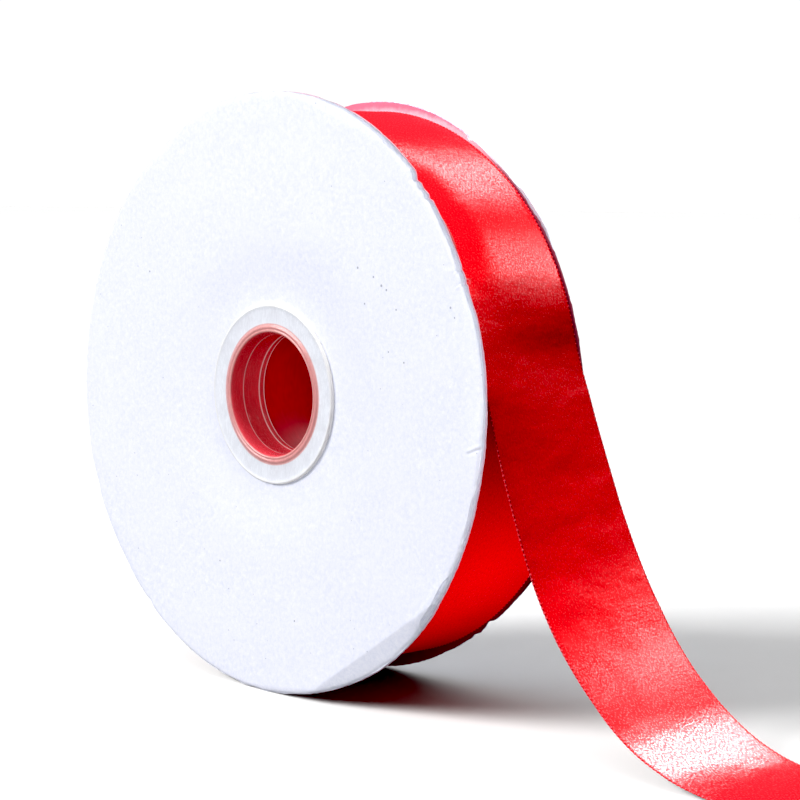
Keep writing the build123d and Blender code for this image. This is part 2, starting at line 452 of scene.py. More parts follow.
def satin_material(name, deep, middle, bright, face=1.0):
    """Woven satin. UV is in mm: u along the ribbon, v across it. face: 1 for the full shine."""
    mat = new_material(name)
    uv = mat.ribbon_uv()
    grain = mat.noise(mat.mapped(uv, scale=(1.0, 1.35, 1)),
                      scale=1.25, detail=3.0, rough=0.75, warp=0.2)
    # bright thread floats; the longer ones show where the ribbon is seen edge-on
    edge_on = mat.node("ShaderNodeLayerWeight", {"Blend": 0.5}).outputs["Facing"]
    short = mat.noise(mat.mapped(uv, scale=(1.0, 1.1, 1), shift=(31.0, 7.0, 0)),
                      scale=2.1, detail=0.0)
    long = mat.noise(mat.mapped(uv, scale=(0.62, 1.1, 1), shift=(3.0, 17.0, 0)),
                     scale=2.4, detail=0.0)
    glint = mat.mix(mat.ramp(edge_on, (0.40, 0), (0.62, 1)), short, long)
    floats = mat.noise(mat.mapped(uv, scale=(0.55, 9.0, 1)), scale=1.0)
    broad = mat.noise(mat.mapped(uv, scale=(0.045, 0.03, 1)), scale=1.0)
    drift = mat.noise(mat.mapped(uv, scale=(0.25, 0.16, 1), shift=(5.0, 3.0, 0)),
                      scale=1.0, detail=3.0, rough=0.6)
    picks = mat.node("ShaderNodeTexWave", {
        "Scale": 3.1, "Distortion": 1.2, "Detail": 1.0, "Detail Scale": 4.0, "Vector": uv},
        wave_type="BANDS", bands_direction="X", wave_profile="SIN").outputs["Fac"]
    colour = mat.ramp(grain, (0.25, srgb(*deep)), (0.5, srgb(*middle)), (0.78, srgb(*bright)))
    colour = mat.multiply(0.10, colour, mat.ramp(floats, (0.3, (0.75, 0.6, 0.6)), (0.6, 1)))
    colour = mat.multiply(0.25, colour, mat.ramp(broad, (0.3, (0.88, 0.85, 0.85)), (0.7, 1)))
    # keeps the ribbon from lighting itself too strongly
    bounced = mat.node("ShaderNodeLightPath").outputs["Is Diffuse Ray"]
    colour = mat.mix(bounced, colour, mat.multiply(1.0, colour, 0.40))
    height = mat.plus(mat.times(grain, 0.9), mat.times(glint, 0.8))
    height = mat.plus(height, mat.times(floats, 0.3))
    height = mat.plus(height, mat.times(picks, 0.10))
    normal = mat.bump(height, strength=0.10 * face + 0.1, distance=0.00006)
    normal = mat.bump(drift, strength=0.10, distance=0.0012, normal=normal)
    normal = mat.bump(broad, strength=0.20, distance=0.0035, normal=normal)
    cloth = mat.principled(colour, 0.6, normal, Specular_IOR_Level=0.0)
    gloss = satin_gloss(mat, uv, glint, normal, face)
    return mat.finish(mat.node("ShaderNodeAddShader", {0: cloth, 1: gloss}).outputs[0])


def stitch_material(name):
    """Selvedge thread at the ribbon's edge: a painted highlight on each bead's crest and painted
    shade in the gaps between, varied at random.
    """
    mat = new_material(name)
    uv = mat.ribbon_uv()
    loops = mat.math("SINE", mat.times(mat.xyz(uv)[0], TAU / SELVEDGE_PITCH))
    jitter = mat.noise(mat.mapped(uv, scale=(1.2, 1, 1)), scale=1.0, detail=1.0)
    light = mat.plus(mat.times(loops, 0.5), mat.times(jitter, 0.55))
    # painted highlight at the bead crests, painted shade between them
    colour = mat.ramp(light, (0.15, srgb(186, 0, 14)), (0.52, srgb(232, 10, 26)),
                      (0.76, srgb(255, 96, 108)))
    fine = mat.noise(mat.mapped(uv, scale=(3.0, 5.0, 1)), scale=2.5, rough=0.6)
    return mat.finish(mat.principled(
        colour, 0.42, mat.bump(fine, strength=0.3, distance=0.00006), Specular_IOR_Level=0.25))


def lap_edge_material(name):
    """Edges of the wound laps, and the roll's faces: concentric hairlines."""
    mat = new_material(name)
    pos = mat.object_mm()
    x, y, z = mat.xyz(pos)
    outward = mat.node("ShaderNodeCombineXYZ", {0: mat.axis_distance(x, z)}).outputs[0]
    rings = mat.noise(outward, scale=4.5, detail=3.0, rough=0.7)
    patch = mat.noise(pos, scale=0.12)
    colour = mat.ramp(rings, (0.3, srgb(96, 0, 6)), (0.5, srgb(176, 2, 16)),
                      (0.7, srgb(222, 12, 30)))
    colour = mat.multiply(0.3, colour, mat.ramp(patch, (0.3, (0.7, 0.6, 0.6)), (0.7, 1)))
    return mat.finish(mat.principled(
        colour, 0.5, mat.bump(rings, strength=0.5, distance=0.0002), Specular_IOR_Level=0.5))


def plastic_material(name, zones, tint, rough, coat, rings=()):
    """Clear moulded plastic.

    zones: radius, colour seen in it, how much it hides what is behind. The reds and pinks are
    painted-in light from the red ribbon behind the clear plastic.
    rings: painted highlight lines in the bore, which also glow: depth below the collar's flat,
    half width, strength.
    """
    zone_start, zone_span = 15.0, 10.0
    mat = new_material(name)
    pos = mat.object_mm()
    flow = mat.noise(mat.mapped(pos, scale=(0.25, 0.9, 0.25)),
                     scale=1.0, detail=3.0, rough=0.55, warp=0.5)
    fine = mat.noise(pos, scale=1.8)
    scuff = mat.noise(mat.mapped(pos, scale=(1.0, 6.0, 0.3), turn=(0.2, 0.5, 0.1)),
                      scale=1.5, detail=4.0, rough=0.7)
    x, y, z = mat.xyz(pos)
    radius = mat.times(mat.minus(mat.axis_distance(x, z), zone_start), 1 / zone_span)
    colour = mat.ramp(radius, *[((r - zone_start) / zone_span, c) for r, c, _ in zones])
    hide = mat.ramp(radius, *[((r - zone_start) / zone_span, h) for r, _, h in zones])
    colour = mat.multiply(0.35, colour, mat.ramp(flow, (0.3, (0.80, 0.78, 0.80)), (0.7, 1)))
    painted_ring_glow = {}
    if rings:
        # painted highlights: the moulded rings inside the bore are drawn as light lines, which
        # also glow by emission
        depth = mat.minus(FACE_Y, mat.math("ABSOLUTE", y))
        lines = None
        for ring_depth, half_width, strength in rings:
            away = mat.math("ABSOLUTE", mat.minus(depth, ring_depth))
            line = mat.times(mat.spike(away, half_width), strength)
            lines = line if lines is None else mat.math("MAXIMUM", lines, line)
        bore = mat.math("LESS_THAN", radius, 0.165)
        colour = mat.mix(mat.times(lines, bore), colour, srgb(255, 236, 236))
        painted_ring_glow = {"Emission_Color": (1.0, 0.80, 0.82),
                "Emission_Strength": mat.times(mat.times(lines, bore), 0.38)}
    relief = mat.plus(flow, mat.times(fine, 0.3))
    body = mat.principled(
        colour, mat.ramp(scuff, (0.35, rough), (0.75, rough + 0.16)),
        mat.bump(relief, strength=0.25, distance=0.00012),
        Specular_IOR_Level=0.5, Coat_Weight=coat, Coat_Roughness=0.08, **painted_ring_glow)
    clear = mat.node("ShaderNodeBsdfTransparent", {"Color": tint}).outputs[0]
    facing = mat.node("ShaderNodeLayerWeight", {"Blend": 0.25}).outputs["Facing"]
    opacity = mat.plus(hide, mat.times(facing, 0.20), clamp=True)
    opacity = mat.plus(opacity, mat.times(mat.minus(flow, 0.5), 0.10), clamp=True)
    return mat.finish(mat.mix_shader(opacity, clear, body))


def tape_material(name):
    mat = new_material(name)
    fibres = mat.noise(mat.mapped(mat.object_mm(), scale=(3.0, 0.5, 3.0)),
                       scale=1.0, detail=4.0, rough=0.65)
    colour = mat.ramp(fibres, (0.3, srgb(202, 180, 132)), (0.7, srgb(226, 208, 164)))
    return mat.finish(mat.principled(colour, 0.5,
                                     mat.bump(fibres, strength=0.4, distance=0.0001)))


# radius, colour, how much it hides. The red of the bore and the pink of the mouth are painted-in
# light: the red ribbon seen in the clear plastic.
HUB_ZONES = [
    (16.2, srgb(255, 66, 84), 0.62), (16.75, srgb(255, 84, 98), 0.62),
    (17.0, srgb(240, 172, 168), 0.74), (18.0, srgb(238, 166, 164), 0.74),
    (19.0, srgb(240, 180, 178), 0.74), (19.35, srgb(243, 247, 255), 0.84),
    (23.4, srgb(243, 247, 255), 0.84), (24.4, srgb(250, 248, 244), 0.88)]
# the core's red is painted-in light: the ribbon seen through the clear tube
CORE_ZONES = [(18.3, srgb(232, 14, 62), 0.80), (19.0, srgb(232, 14, 62), 0.80),
              (20.5, srgb(245, 60, 70), 0.80)]
# depth below the collar's flat, half width, strength of the painted highlight lines on the bore's
# rings
BORE_RING_HIGHLIGHTS = [(4.2, 0.22, 0.60), (9.9, 0.24, 0.85), (11.7, 0.34, 1.0)]

PAPER = paper_material("flange_facing_paper")
LINING = paper_material("flange_inner_paper", lining=True)
SOFT_BOARD = board_material("flange_soft_board")
SATIN = satin_material("ribbon_satin_face",
                       deep=(218, 22, 30), middle=(243, 26, 34), bright=(255, 29, 38))
SATIN_BACK = satin_material("ribbon_satin_back", deep=(170, 0, 8), middle=(214, 0, 14),
                            bright=(228, 4, 22), face=0.35)
STITCH = stitch_material("ribbon_selvedge")
LAP_EDGES = lap_edge_material("ribbon_lap_edges")
HUB_PLASTIC = plastic_material("hub_plastic", HUB_ZONES, tint=(0.97, 0.93, 0.93), rough=0.20,
                               coat=0.25, rings=BORE_RING_HIGHLIGHTS)
CORE_PLASTIC = plastic_material("core_plastic", CORE_ZONES, tint=(0.98, 0.92, 0.92),
                                rough=0.55, coat=0.0)
TAPE = tape_material("starter_tape")

# ------------------------------------------------------------------- flanges
# side: -1 front, 1 back. flare: spread of the inner face at the rim.
# tilt_x, tilt_z: lean of the disc. seed: for all its noise.
# folds: angle and distance of a straight fold line, slope of the outer face beyond it,
#   slope of the inner face
# notches: angle, width (degrees), depth, cut out of the rim in every ply
# worn_arcs: start, end, soft (degrees), depth off the rim, in every ply
# facing_arcs: the same, in the facing paper only. Negative adds.
# setback: of the rim, for each ply (-1 lining, 0 board, 1 facing)
# lip, lip_drop: width and depth of the rounding at the very edge
# bruises, grooves: start x, z, end x, z, width, depth of marks in the outer face
# finer: start, end, step (degrees) of arcs with extra vertices
FRONT = SimpleNamespace(
    side=-1, flare=1.6, tilt_z=0.0165, tilt_x=0.0, bevel=0.12, lip=0.42, lip_drop=0.20, seed=11,
    folds=[(-56.0, 75.6, 0.40, 0.17), (7.0, 75.1, 0.115, 0.02), (-22.4, 75.0, 0.10, 0.02),
           (70.8, 78.2, 0.15, 0.03), (44.0, 78.4, 0.08, 0.02), (97.0, 79.0, 0.10, 0.03),
           (127.0, 78.9, 0.12, 0.05), (158.0, 79.2, 0.06, 0.02), (222.0, 78.6, 0.10, 0.05),
           (-84.0, 79.0, 0.16, 0.04)],
    notches=[(47.2, 0.8, 1.1), (45.2, 1.2, 0.6), (42.6, 0.6, 0.45), (131.0, 1.2, 0.5),
             (27.4, 0.5, 0.35), (24.8, 0.5, 0.3), (203.0, 1.6, 0.4), (232.0, 1.0, 0.5)],
    worn_arcs=[(-25, 45, 20, 0.7), (20, 46, 2.5, 0.5), (112, 128, 3, 0.55)],
    facing_arcs=[(-42, -30, 1.6, 0.9), (-21, -14, 1.0, 0.35), (52, 76, 4, 0.3)],
    setback={-1: -0.05, 0: 0.22, 1: 0.0},
    bruises=[(69.4, 35.2, 72.6, 38.0, 0.36, 0.20), (70.2, 31.8, 74.6, 34.6, 0.38, 0.22),
             (66.0, 36.4, 70.5, 37.0, 0.9, 0.10), (74.8, -8.6, 80.4, -6.2, 0.55, -0.26),
             (51.6, 61.2, 55.8, 60.4, 0.45, 0.30), (53.2, 63.0, 56.2, 59.6, 0.40, 0.22),
             (64.6, -34.0, 67.6, -41.0, 0.8, 0.07)],
    grooves=[(-50.5, -39.0, -40.0, -32.4, 0.5, 0.04), (-28.0, 52.0, -6.0, 60.0, 0.8, 0.03)],
    finer=[(22, 31, 0.12), (-8, -1, 0.2), (40, 53, 0.12), (-45, -12, 0.2)])
BACK = SimpleNamespace(
    side=1, flare=0.2, tilt_z=-0.004, tilt_x=-0.004, bevel=0.45, lip=0.7, lip_drop=0.38, seed=37,
    folds=[(88.0, 77.6, 0.22, -0.02), (66.0, 75.6, 0.20, 0.0), (40.0, 72.4, 0.24, 0.0),
           (14.0, 72.0, 0.26, 0.0), (-16.0, 72.2, 0.24, 0.0), (-52.0, 73.4, 0.26, 0.0),
           (120.0, 78.0, 0.20, 0.04), (154.0, 77.0, 0.34, 0.10), (196.0, 78.4, 0.20, 0.04),
           (232.0, 77.4, 0.30, 0.08), (266.0, 78.8, 0.20, 0.04)],
    notches=[(64.0, 0.7, 0.8), (-55.0, 1.5, 0.9), (-60.0, 0.8, 0.5), (150.0, 1.3, 0.5),
             (214.0, 1.0, 0.6)],
    worn_arcs=[],
    facing_arcs=[(35, 48, 2.0, -0.8), (-40, 31, 2.0, 1.5), (165, 178, 2.5, 0.6)],
    setback={-1: 0.0, 0: 0.2, 1: 0.0},
    bruises=[(-60.0, 40.0, -71.0, 33.0, 0.8, 0.12), (20.0, -62.0, 34.0, -66.0, 0.8, 0.10)],
    grooves=[(-30.0, -30.0, -52.0, -44.0, 0.6, 0.04)],
    finer=[(60, 68, 0.2), (-62, -50, 0.2), (30, 50, 0.25)])
# wear of the back flange's rim: angle, depth
BACK_WEAR = np.array([
    (-90, 0.3), (-84, 1.2), (-76, 2.8), (-70, 3.9), (-60, 4.9), (-50, 5.5), (-42, 5.6),
    (-30, 5.4), (0, 5.0), (30, 4.8), (46, 4.9), (52, 4.6), (58, 4.2), (66, 3.3), (75, 2.6),
    (87, 1.8), (96, 1.5), (110, 1.1), (130, 0.2), (255, 0.0), (262, 0.1), (270, 0.3)])
# lifted facing at the front rim: start, end, soft (degrees), height, from radius, over
FRONT_LIFTS = [(-43, -31, 1.5, 0.30, 77.4, 1.6), (-21, -13, 1.2, 0.16, 79.2, 1.0)]
FOLD_SOFT = 0.35
THINNEST = 0.95
# radii of the vertex rings, before the rim is worn
FINE_RINGS = [
    18.6, 19.6, 21.5, 23.4, 24.2, 24.6, 24.9, 25.2, 25.6, 26.1, 26.7, 27.4, 28.2, 29.0, 29.8,
    30.6, 31.4, 32.4, 34.0, 36.5, 39.5, 42.5, 45.5, 48.5, 51.5, 54.5, 57.0, 59.5, 62.0, 64.0,
    66.0, 67.8, *np.arange(69.0, 80.6, 0.36), 80.72, 80.86, 80.95, 81.0]
COARSE_RINGS = [
    18.6, 21.0, 24.4, 25.6, 27.5, 29.5, 31.5, 38.0, 46.0, 54.0, 62.0, 68.0, 71.0, 73.0, 74.5,
    75.5, 76.3, 77.0, 77.7, 78.4, 79.1, 79.7, 80.2, 80.6, 80.85, 81.0]


def chord_fold(x, z, angle, distance):
    """How far a point lies beyond a straight fold line, eased at the fold."""
    beyond = x * math.cos(angle * DEG) + z * math.sin(angle * DEG) - distance
    eased = 0.5 * (beyond + np.sqrt(beyond * beyond + FOLD_SOFT * FOLD_SOFT))
    return eased - 0.5 * FOLD_SOFT * np.exp(-np.abs(beyond) / FOLD_SOFT)


def crease(x, z, mark, groove):
    """A short straight mark: a plain groove, or a bruise with a raised lip beside it."""
    start_x, start_z, end_x, end_z, width, depth = mark
    length = math.hypot(end_x - start_x, end_z - start_z)
    dir_x, dir_z = (end_x - start_x) / length, (end_z - start_z) / length
    run = (x - start_x) * dir_x + (z - start_z) * dir_z
    across = (-(x - start_x) * dir_z + (z - start_z) * dir_x) / width
    along = smooth01(run / (0.3 * length)) * smooth01((length + 0.6 - run) / 0.6)
    section = np.exp(-across * across)
    return depth * along * (section if groove else 1.6 * across * section)


def rim_radius(spec, angle, ply):
    """Outside radius of one ply round the circle. ply: -1 lining, 0 board, 1 facing."""
    seed = spec.seed
    rad = FLANGE_R - 0.16 + 0.14 * waves(angle, seed, low=2, high=9, count=10)
    rad += 0.10 * waves(angle, seed + 1 + ply, low=14, high=70, count=30, power=0.5)
    rad += 0.05 * waves(angle, seed + 7 + ply, low=110, high=260, count=50, power=0.3)
    rad = np.minimum(rad, FLANGE_R + 0.02)
    if spec is FRONT:
        # a little larger at -X, but not where it stands on the floor
        standing = in_arc(angle, 250, 290, soft=12)
        rad += 0.9 * in_arc(angle, 100, 215, soft=25) * (1 - standing)
    else:
        degrees = (angle / DEG + 90.0) % 360.0 - 90.0
        rad -= np.interp(degrees, BACK_WEAR[:, 0], BACK_WEAR[:, 1])
    for centre, width, depth in spec.notches:
        rad -= depth * near_angle(angle, centre, width)
    for start, end, soft, depth in spec.worn_arcs + (spec.facing_arcs if ply == 1 else []):
        rad -= depth * in_arc(angle, start, end, soft)
    return rad - spec.setback[ply]


def inner_y(spec, rad, angle):
    """Inner face of the flange, distance from the middle plane (positive)."""
    x, z = rad * np.cos(angle), rad * np.sin(angle)
    y = HALF_GAP + spec.flare * np.maximum(rad - FLAT_R, 0) / (FLANGE_R - FLAT_R)
    free = smooth01((rad - 26) / 45) * (rad / FLANGE_R)
    y = y + free * (spec.tilt_z * z * spec.side) + free * (spec.tilt_x * x)
    warp = 0.16 * np.sin(2 * angle + 0.7) + 0.10 * np.sin(3 * angle + 2.0)
    warp = warp + 0.05 * waves(angle, spec.seed + 3, low=4, high=11, count=8)
    y = y + free * free * warp
    for fold_angle, distance, _, slope in spec.folds:
        y = y - slope * np.maximum(chord_fold(x, z, fold_angle, distance), 0)
    return np.maximum(y, HALF_GAP - 0.02) if spec is BACK else y


def outer_y(spec, rad, angle):
    """Outer face: total thickness, crushed at the hub and at the rim."""
    x, z = rad * np.cos(angle), rad * np.sin(angle)
    seed = spec.seed
    recovered = smooth01((rad - CLAMP_R + 0.8) / (FLAT_R - CLAMP_R + 15.0))
    thick = TOTAL - (BOARD - CRUSHED) * (1 - recovered)
    for fold_angle, distance, outer_slope, inner_slope in spec.folds:
        beyond = np.maximum(chord_fold(x, z, fold_angle, distance), 0)
        thick = thick - (outer_slope - inner_slope) * beyond
    rim = rim_radius(spec, angle, 0)
    bevel_width = 1.9 + 0.5 * waves(angle, seed + 5, low=2, high=14, count=10)
    bevel = np.clip((rad - (rim - bevel_width)) / bevel_width, 0, 1)
    if spec is FRONT:
        bevel = bevel * (1 - 0.85 * in_arc(angle, 8, 46, soft=3))
    thick = thick - spec.bevel * bevel ** 2.2
    lip = np.clip((rad - (rim - spec.lip)) / spec.lip, 0, 1.3)
    thick = np.maximum(thick - spec.lip_drop * lip ** 2, THINNEST)
    # the sheet is never quite flat
    open_face = smooth01((rad - 27) / 10)
    thick = thick + 0.035 * lattice(x, z, seed + 20, cell=9.0) * open_face
    thick = thick + 0.012 * lattice(x, z, seed + 21, cell=2.6) * open_face
    frill = waves(angle, seed + 6, low=20, high=60, count=20, power=0.4)
    thick = thick + 0.05 * frill * smooth01((rad - 76) / 4)
    for marks, groove in ((spec.bruises, False), (spec.grooves, True)):
        for mark in marks:
            thick = thick - crease(x, z, mark, groove)
    if spec is FRONT:
        for start, end, soft, height, from_radius, over in FRONT_LIFTS:
            lifted = in_arc(angle, start, end, soft) * smooth01((rad - from_radius) / over)
            thick = thick + height * lifted
    return inner_y(spec, rad, angle) + thick


def flange_face(spec, face, rad, angle):
    """y of a face between plies, counted from the inside: 0 inner to 3 outer."""
    if face < 2:
        return inner_y(spec, rad, angle) + face * LINER
    return outer_y(spec, rad, angle) - (3 - face) * LINER


def ring_angles(spec, count):
    """Even angles, with more where the rim has fine detail."""
    angles = [np.arange(count) * TAU / count]
    angles += [np.arange(start, end, step) * DEG for start, end, step in spec.finer]
    angles = np.unique(np.round(np.concatenate(angles) % TAU, 6))
    keep = np.concatenate([[True], np.diff(angles) > 0.0009])
    return angles[keep]


def flange_ply(name, spec, ply, count, rings, material):
    """One ply as a closed solid between two of the flange's four faces."""
    inner_face, outer_face = ply + 1, ply + 2
    # rows of vertices over the rim's edge, how far it bulges, its roughness
    rim_rows, bulge, rough = (5, 0.22, 0.10) if ply == 0 else (1, 0.04, 0.02)
    angle = ring_angles(spec, count)
    rim = rim_radius(spec, angle, ply)

    def face_rows(face):
        rows = []
        for ring in rings:
            rad = HOLE_R + (rim - HOLE_R) * ((ring - HOLE_R) / (FLANGE_R - HOLE_R))
            rows.append((rad, flange_face(spec, face, rad, angle)))
        return rows

    rows = face_rows(outer_face)
    outer_rim = rows[-1][1]
    inner_rim = flange_face(spec, inner_face, rim, angle)
    for j in range(1, rim_rows + 1):
        part = j / (rim_rows + 1)
        ragged = waves(angle, spec.seed + 50 + ply + j, low=40, high=260, count=60, power=0.25)
        rows.append((rim + bulge * math.sin(math.pi * part) + rough * ragged,
                     outer_rim + (inner_rim - outer_rim) * part))
    rows += face_rows(inner_face)[::-1]
    rad, y = np.array(rows).transpose(1, 0, 2)
    verts = np.stack([rad * np.cos(angle), spec.side * y, rad * np.sin(angle)], -1)
    faces = grid_faces(len(rows), len(angle), wrap_rows=True, wrap_cols=True,
                       flip=(spec.side > 0))
    return add_mesh(name, verts.reshape(-1, 3), [faces], [material])


for spec, place, facing_count, lining_rings in ((FRONT, "front", 1080, COARSE_RINGS),
                                                (BACK, "back", 900, FINE_RINGS)):
    # name, ply, vertices round, rings, material, node replaced, slot
    for name, ply, count, rings, material, node, slot in (
            ("facing_paper", 1, facing_count, FINE_RINGS, PAPER, "outer_paper", "flange_paper"),
            ("crushed_board", 0, 720, COARSE_RINGS, SOFT_BOARD, "board", "flange_board"),
            ("lining_paper", -1, 720, lining_rings, LINING, "inner_paper", "flange_paper")):
        obj = flange_ply(f"{place}_flange_{name}", spec, ply, count, rings, material)
        on_spool(obj, f"{place}_flange_{node}")

# ----------------------------------------------------------------- hub plugs
# (radius, depth below the collar's flat) going round the section
PLUG_SECTION = [
    # bore wall, from the inner end to the mouth
    (16.42, 11.75), (16.38, 11.6), (16.40, 11.3), (16.46, 10.6), (16.44, 10.35), (16.36, 10.15),
    (16.34, 9.95), (16.40, 9.75), (16.48, 9.6), (16.49, 7.5), (16.50, 5.6), (16.50, 4.7),
    (16.42, 4.45), (16.36, 4.25), (16.36, 4.05), (16.44, 3.85), (16.52, 3.6), (16.52, 2.2),
    (16.53, 1.3), (16.56, 0.95), (16.62, 0.62), (16.72, 0.32), (16.88, 0.08),
    # collar, from the mouth to its outer edge
    (17.08, -0.06), (17.28, -0.10), (17.44, -0.06), (17.54, 0.02), (17.64, 0.05), (17.76, 0.01),
    (17.92, -0.07), (18.12, -0.11), (18.34, -0.08), (18.52, 0.0), (18.66, 0.12), (18.82, 0.20),
    (19.1, 0.22), (20.2, 0.22), (21.6, 0.21), (22.8, 0.20), (23.3, 0.17), (23.6, 0.10),
    (23.82, 0.05), (24.02, 0.06), (24.18, 0.14), (24.29, 0.28), (24.34, 0.48), (24.35, 0.75),
    (24.33, 0.98), (24.2, 1.04),
    # underside of the collar and outside of the tube
    (22.0, COLLAR), (19.2, COLLAR), (18.55, COLLAR), (18.36, 1.12), (18.30, 1.3), (18.30, 3.0),
    (18.30, 6.0), (18.30, 9.0), (18.30, 9.8), (18.36, 9.95), (18.40, 10.2), (18.40, 11.2),
    (18.34, 11.45), (18.15, 11.75), (17.8, 11.98), (17.3, 12.0), (16.75, 11.98), (16.55, 11.9)]


def hub_plug(place, side):
    def wobble(rad, y, angle):
        """Uneven outer edge of the collar, with a small nick at the bottom."""
        edge = smooth01((rad - 23.9) / 0.3)
        nick = near_angle(angle, -93.0, 1.6) + 0.6 * near_angle(angle, -87.0, 0.9)
        uneven = 0.05 * waves(angle, 71 + side, low=2, high=7, count=6)
        return rad + edge * (uneven - 0.22 * nick), y + edge * side * 0.10 * nick

    section = [(rad, FACE_Y - depth) for rad, depth in PLUG_SECTION]
    obj = lathe(f"{place}_hub_plug_moulding", section, 288, HUB_PLASTIC, side, wobble)
    on_spool(obj, f"{place}_hub_plug")


hub_plug("front", -1)
hub_plug("back", 1)

# CAD nodes that stay, with their own materials
for node, material in (("core_tube", CORE_PLASTIC), ("starter_tape", TAPE)):
    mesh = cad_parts[node].data
    mesh.materials.clear()
    mesh.materials.append(material)


# --------------------------------------------------------------- wound laps
def roll_profile():
    """Closed (radius, y) section, its side faces made uneven by the laps' edges."""
    rng = np.random.default_rng(5)
    inner, outer, outer_crown = 20.6, 74.1, 0.03
    corner_drop, core_y = 0.2, 9.0
    radii = [*np.linspace(inner, 52, 34), *np.arange(52.4, outer - 0.2, 0.22)]

    def side_face():
        return [(rad, RIB_HALF - rng.uniform(0.02, 0.22) - (0.06 if k % 2 else 0.0))
                for k, rad in enumerate(radii)]

    back = side_face()
    front = [(rad, -y) for rad, y in side_face()]
    return [*back, (outer, RIB_HALF - corner_drop), (outer + outer_crown, 0.0),
            (outer, -RIB_HALF + corner_drop), *front[::-1],
            (inner, -core_y), (inner, 0.0), (inner, core_y)]


on_spool(lathe("ribbon_wound_laps", roll_profile(), 240, LAP_EDGES), "ribbon_roll")

# -------------------------------------------------- last lap and free end
# x, z along the free end: its front edge and its back edge
NEAR = [
    (78.2, 5.4), (79.4, 1.2), (80.4, -2.9), (81.6, -6.6), (83.4, -12.0), (85.3, -16.9),
    (87.2, -21.7), (90.1, -29.1), (91.9, -33.0), (94.4, -38.3), (97.9, -44.9), (101.9, -51.0),
    (106.7, -56.8), (111.9, -62.2), (118.7, -68.2), (123.0, -71.6), (126.6, -73.8),
    (130.1, -75.5), (133.5, -76.8), (137.0, -77.9), (141.1, -79.0), (145.1, -79.8),
    (149.0, -80.35), (155.0, -80.7), (163.0, -80.8), (172.0, -80.8), (181.0, -80.8)]
FAR = [
    (76.8, 7.4), (78.7, 2.4), (80.6, -2.6), (82.5, -7.6), (84.6, -12.6), (86.8, -17.5),
    (89.0, -22.4), (91.2, -27.3), (93.6, -32.1), (96.1, -36.9), (98.9, -41.7), (101.8, -46.3),
    (105.0, -51.0), (108.5, -55.6), (112.3, -60.0), (116.4, -64.1), (120.8, -67.8),
    (125.6, -71.2), (130.5, -74.2), (135.3, -76.5), (141.0, -78.5), (147.1, -79.9),
    (153.0, -80.6), (160.0, -80.8), (170.0, -80.8), (181.0, -80.8)]
NEAR_LEAVE, FAR_LEAVE = 20.0, 14.5     # angles where the edges leave the lap
START_ANGLE = FAR_LEAVE + 372.0        # the last lap starts here and runs to smaller angles
STATION = 0.5                          # spacing along the ribbon
# places across the ribbon: -1 is the front edge, 1 the back edge
HALF_COLS = [1.0, 0.9985, 0.994, 0.988, 0.980, 0.968, 0.95, 0.92, 0.88, 0.82, 0.74, 0.65, 0.55,
             0.45, 0.35, 0.25, 0.15, 0.05]
COLS = np.array([-c for c in HALF_COLS] + HALF_COLS[::-1])
# lengthwise ripples: height, wavelength, phase, phase shift towards the back edge
RIPPLES = [(0.045, 37.0, 0.3, 0.6), (0.030, 21.0, 2.1, -1.0), (0.018, 11.5, 4.0, 1.7)]
CUP_HEIGHT = 0.42
EDGE_LIFT = 0.05
DENT_DEPTH = 2.6
RIBBON_LOW = -80.93                    # lowest the ribbon's underside may be
THREAD_LOW = -80.98                    # and the selvedge thread's


def catmull_rom(points, steps=16):
    """Curve through all the points but the first and last."""
    curve = []
    for i in range(1, len(points) - 2):
        p0, p1, p2, p3 = points[i - 1:i + 3]
        for k in range(steps):
            u = k / steps
            curve.append(0.5 * (2 * p1 + (p2 - p0) * u + (2 * p0 - 5 * p1 + 4 * p2 - p3) * u * u
                                + (3 * p1 - p0 - 3 * p2 + p3) * u ** 3))
    return np.array(curve + [points[-2]])


def edge_curve(tail_points, leave_angle):
    """x, z of one edge at even stations: the arc of the last lap, then the free end."""
    angle = np.arange(START_ANGLE, leave_angle, -STATION / LAP_R / DEG)
    # the start of the lap lies a little deeper
    rad = LAP_R - 0.75 * smooth01((angle - 250) / 130.0)
    arc = np.stack([LAP_X + rad * np.cos(angle * DEG), LAP_Z + rad * np.sin(angle * DEG)], -1)
    end = arc[-1]
    tail = np.array(tail_points)
    # the free end starts tangent to the lap
    tangent = np.array([math.sin(leave_angle * DEG), -math.cos(leave_angle * DEG)])
    gap = np.linalg.norm(tail[0] - end)
    controls = np.vstack([end - tangent * 4.0, end, end + tangent * gap * 0.5, tail,
                          2 * tail[-1] - tail[-2]])
    line = np.vstack([arc[:-1], catmull_rom(controls)])
    travel = np.concatenate([[0], np.cumsum(np.linalg.norm(np.diff(line, axis=0), axis=1))])
    dist = np.arange(0, travel[-1], STATION)
    even = np.stack([np.interp(dist, travel, line[:, 0]), np.interp(dist, travel, line[:, 1])],
                    -1)
    # ease out small unevenness along the free end, keeping the lap exact
    reach, spread = 24, 9.0
    kernel = np.exp(-0.5 * (np.arange(-reach, reach + 1) / spread) ** 2)
    kernel /= kernel.sum()
    padded = np.vstack([even[:1].repeat(reach, 0), even, even[-1:].repeat(reach, 0)])
    soft = np.stack([np.convolve(padded[:, c], kernel, "valid") for c in (0, 1)], -1)
    on_tail = smooth01((dist - travel[len(arc) - 1] + 8) / 16.0)[:, None]
    before_end = smooth01((dist[-1] - dist) / 14.0)[:, None]
    return even * (1 - on_tail * before_end) + soft * on_tail * before_end


def resample(line, count):
    at = np.arange(count) / (count - 1)
    own = np.linspace(0, 1, len(line))
    return np.stack([np.interp(at, own, line[:, c]) for c in (0, 1)], -1)


def normals(x, z):
    """Unit normals in the xz plane of lines running down the first axis."""
    step_x, step_z = np.gradient(x, axis=0), np.gradient(z, axis=0)
    length = np.hypot(step_x, step_z)
    return -step_z / length, step_x / length


